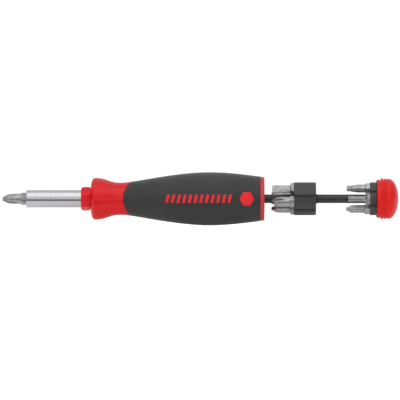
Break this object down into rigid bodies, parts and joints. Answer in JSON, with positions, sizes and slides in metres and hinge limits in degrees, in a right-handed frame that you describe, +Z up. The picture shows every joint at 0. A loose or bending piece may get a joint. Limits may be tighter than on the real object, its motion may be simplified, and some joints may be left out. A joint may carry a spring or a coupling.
{
  "type": "pocket screwdriver",
  "caption": "Pocket screwdriver with a magnetic hexagonal socket and a captive bit magazine that slides out of the handle.",
  "frame": {"origin": "on the tool's axis at the front face of the hexagonal collar, where the bit tube leaves the handle", "axes": "+X along the axis from the tip to the cap, +Z up, the marked side of the grip faces -Y"},
  "size_m": [0.2375, 0.0318, 0.0318],
  "materials": {
    "red_core": "translucent red, semi-gloss moulded",
    "soft_grey": "soft-touch matt overmould",
    "red_collar": "semi-gloss moulded",
    "red_cap": "opaque, semi-gloss moulded",
    "stainless_tube": "finely turned stainless",
    "bit_steel": "bead-blasted grey tool steel",
    "socket_steel": "machined",
    "magnet_nickel": "nickel plated",
    "pin_steel": "drawn wire",
    "bush_brass": "turned",
    "black_rod": "black oxide, satin",
    "black_ring": "black oxide",
    "black_block": "fine moulded grain"
  },
  "bodies": {
    "handle": {"handle_core": "red_core", "soft_grip": "soft_grey", "hex_collar": "red_collar", "tube_sleeve": "stainless_tube", "hex_socket": "socket_steel", "socket_magnet": "magnet_nickel", "drive_shank": "socket_steel", "guide_pin": "pin_steel"},
    "bush": {"guide_bush": "bush_brass"},
    "magazine": {"magazine_rod": "black_rod", "front_ring": "black_ring", "rear_ring": "black_ring", "rear_bit_block": "black_block", "end_cap": "red_cap"},
    "front_block": {"front_bit_block": "black_block"},
    "tip_bit": {"tip_bit": "bit_steel"},
    "front_phillips_bit": {"front_phillips_bit": "bit_steel"},
    "front_pozi_bit": {"front_pozi_bit": "bit_steel"},
    "front_torx_bit": {"front_torx_bit": "bit_steel"},
    "front_slotted_bit": {"front_slotted_bit": "bit_steel"},
    "rear_hex_bit": {"rear_hex_bit": "bit_steel"},
    "rear_phillips_bit": {"rear_phillips_bit": "bit_steel"},
    "rear_square_bit": {"rear_square_bit": "bit_steel"},
    "rear_torx_bit": {"rear_torx_bit": "bit_steel"}
  },
  "joints": [
    {"name": "tip_bit_pull", "type": "slide", "parent": "handle", "child": "tip_bit", "axis": [-1, 0, 0], "range_m": [0, 0.011]},
    {"name": "magazine_slide", "type": "slide", "parent": "handle", "child": "bush", "axis": [1, 0, 0], "range_m": [-0.0698, 0]},
    {"name": "magazine_turn", "type": "hinge", "parent": "bush", "child": "magazine", "pos_m": [0.104, 0, 0], "axis": [1, 0, 0], "continuous": true},
    {"name": "front_block_turn", "type": "hinge", "parent": "magazine", "child": "front_block", "pos_m": [0.134, 0, 0], "axis": [1, 0, 0], "continuous": true},
    {"name": "front_phillips_bit_pull", "type": "slide", "parent": "front_block", "child": "front_phillips_bit", "axis": [-1, 0, 0], "range_m": [0, 0.012]},
    {"name": "front_pozi_bit_pull", "type": "slide", "parent": "front_block", "child": "front_pozi_bit", "axis": [-1, 0, 0], "range_m": [0, 0.012]},
    {"name": "front_torx_bit_pull", "type": "slide", "parent": "front_block", "child": "front_torx_bit", "axis": [-1, 0, 0], "range_m": [0, 0.012]},
    {"name": "front_slotted_bit_pull", "type": "slide", "parent": "front_block", "child": "front_slotted_bit", "axis": [-1, 0, 0], "range_m": [0, 0.012]},
    {"name": "rear_hex_bit_pull", "type": "slide", "parent": "magazine", "child": "rear_hex_bit", "axis": [-1, 0, 0], "range_m": [0, 0.012]},
    {"name": "rear_phillips_bit_pull", "type": "slide", "parent": "magazine", "child": "rear_phillips_bit", "axis": [-1, 0, 0], "range_m": [0, 0.012]},
    {"name": "rear_square_bit_pull", "type": "slide", "parent": "magazine", "child": "rear_square_bit", "axis": [-1, 0, 0], "range_m": [0, 0.012]},
    {"name": "rear_torx_bit_pull", "type": "slide", "parent": "magazine", "child": "rear_torx_bit", "axis": [-1, 0, 0], "range_m": [0, 0.012]}
  ]
}
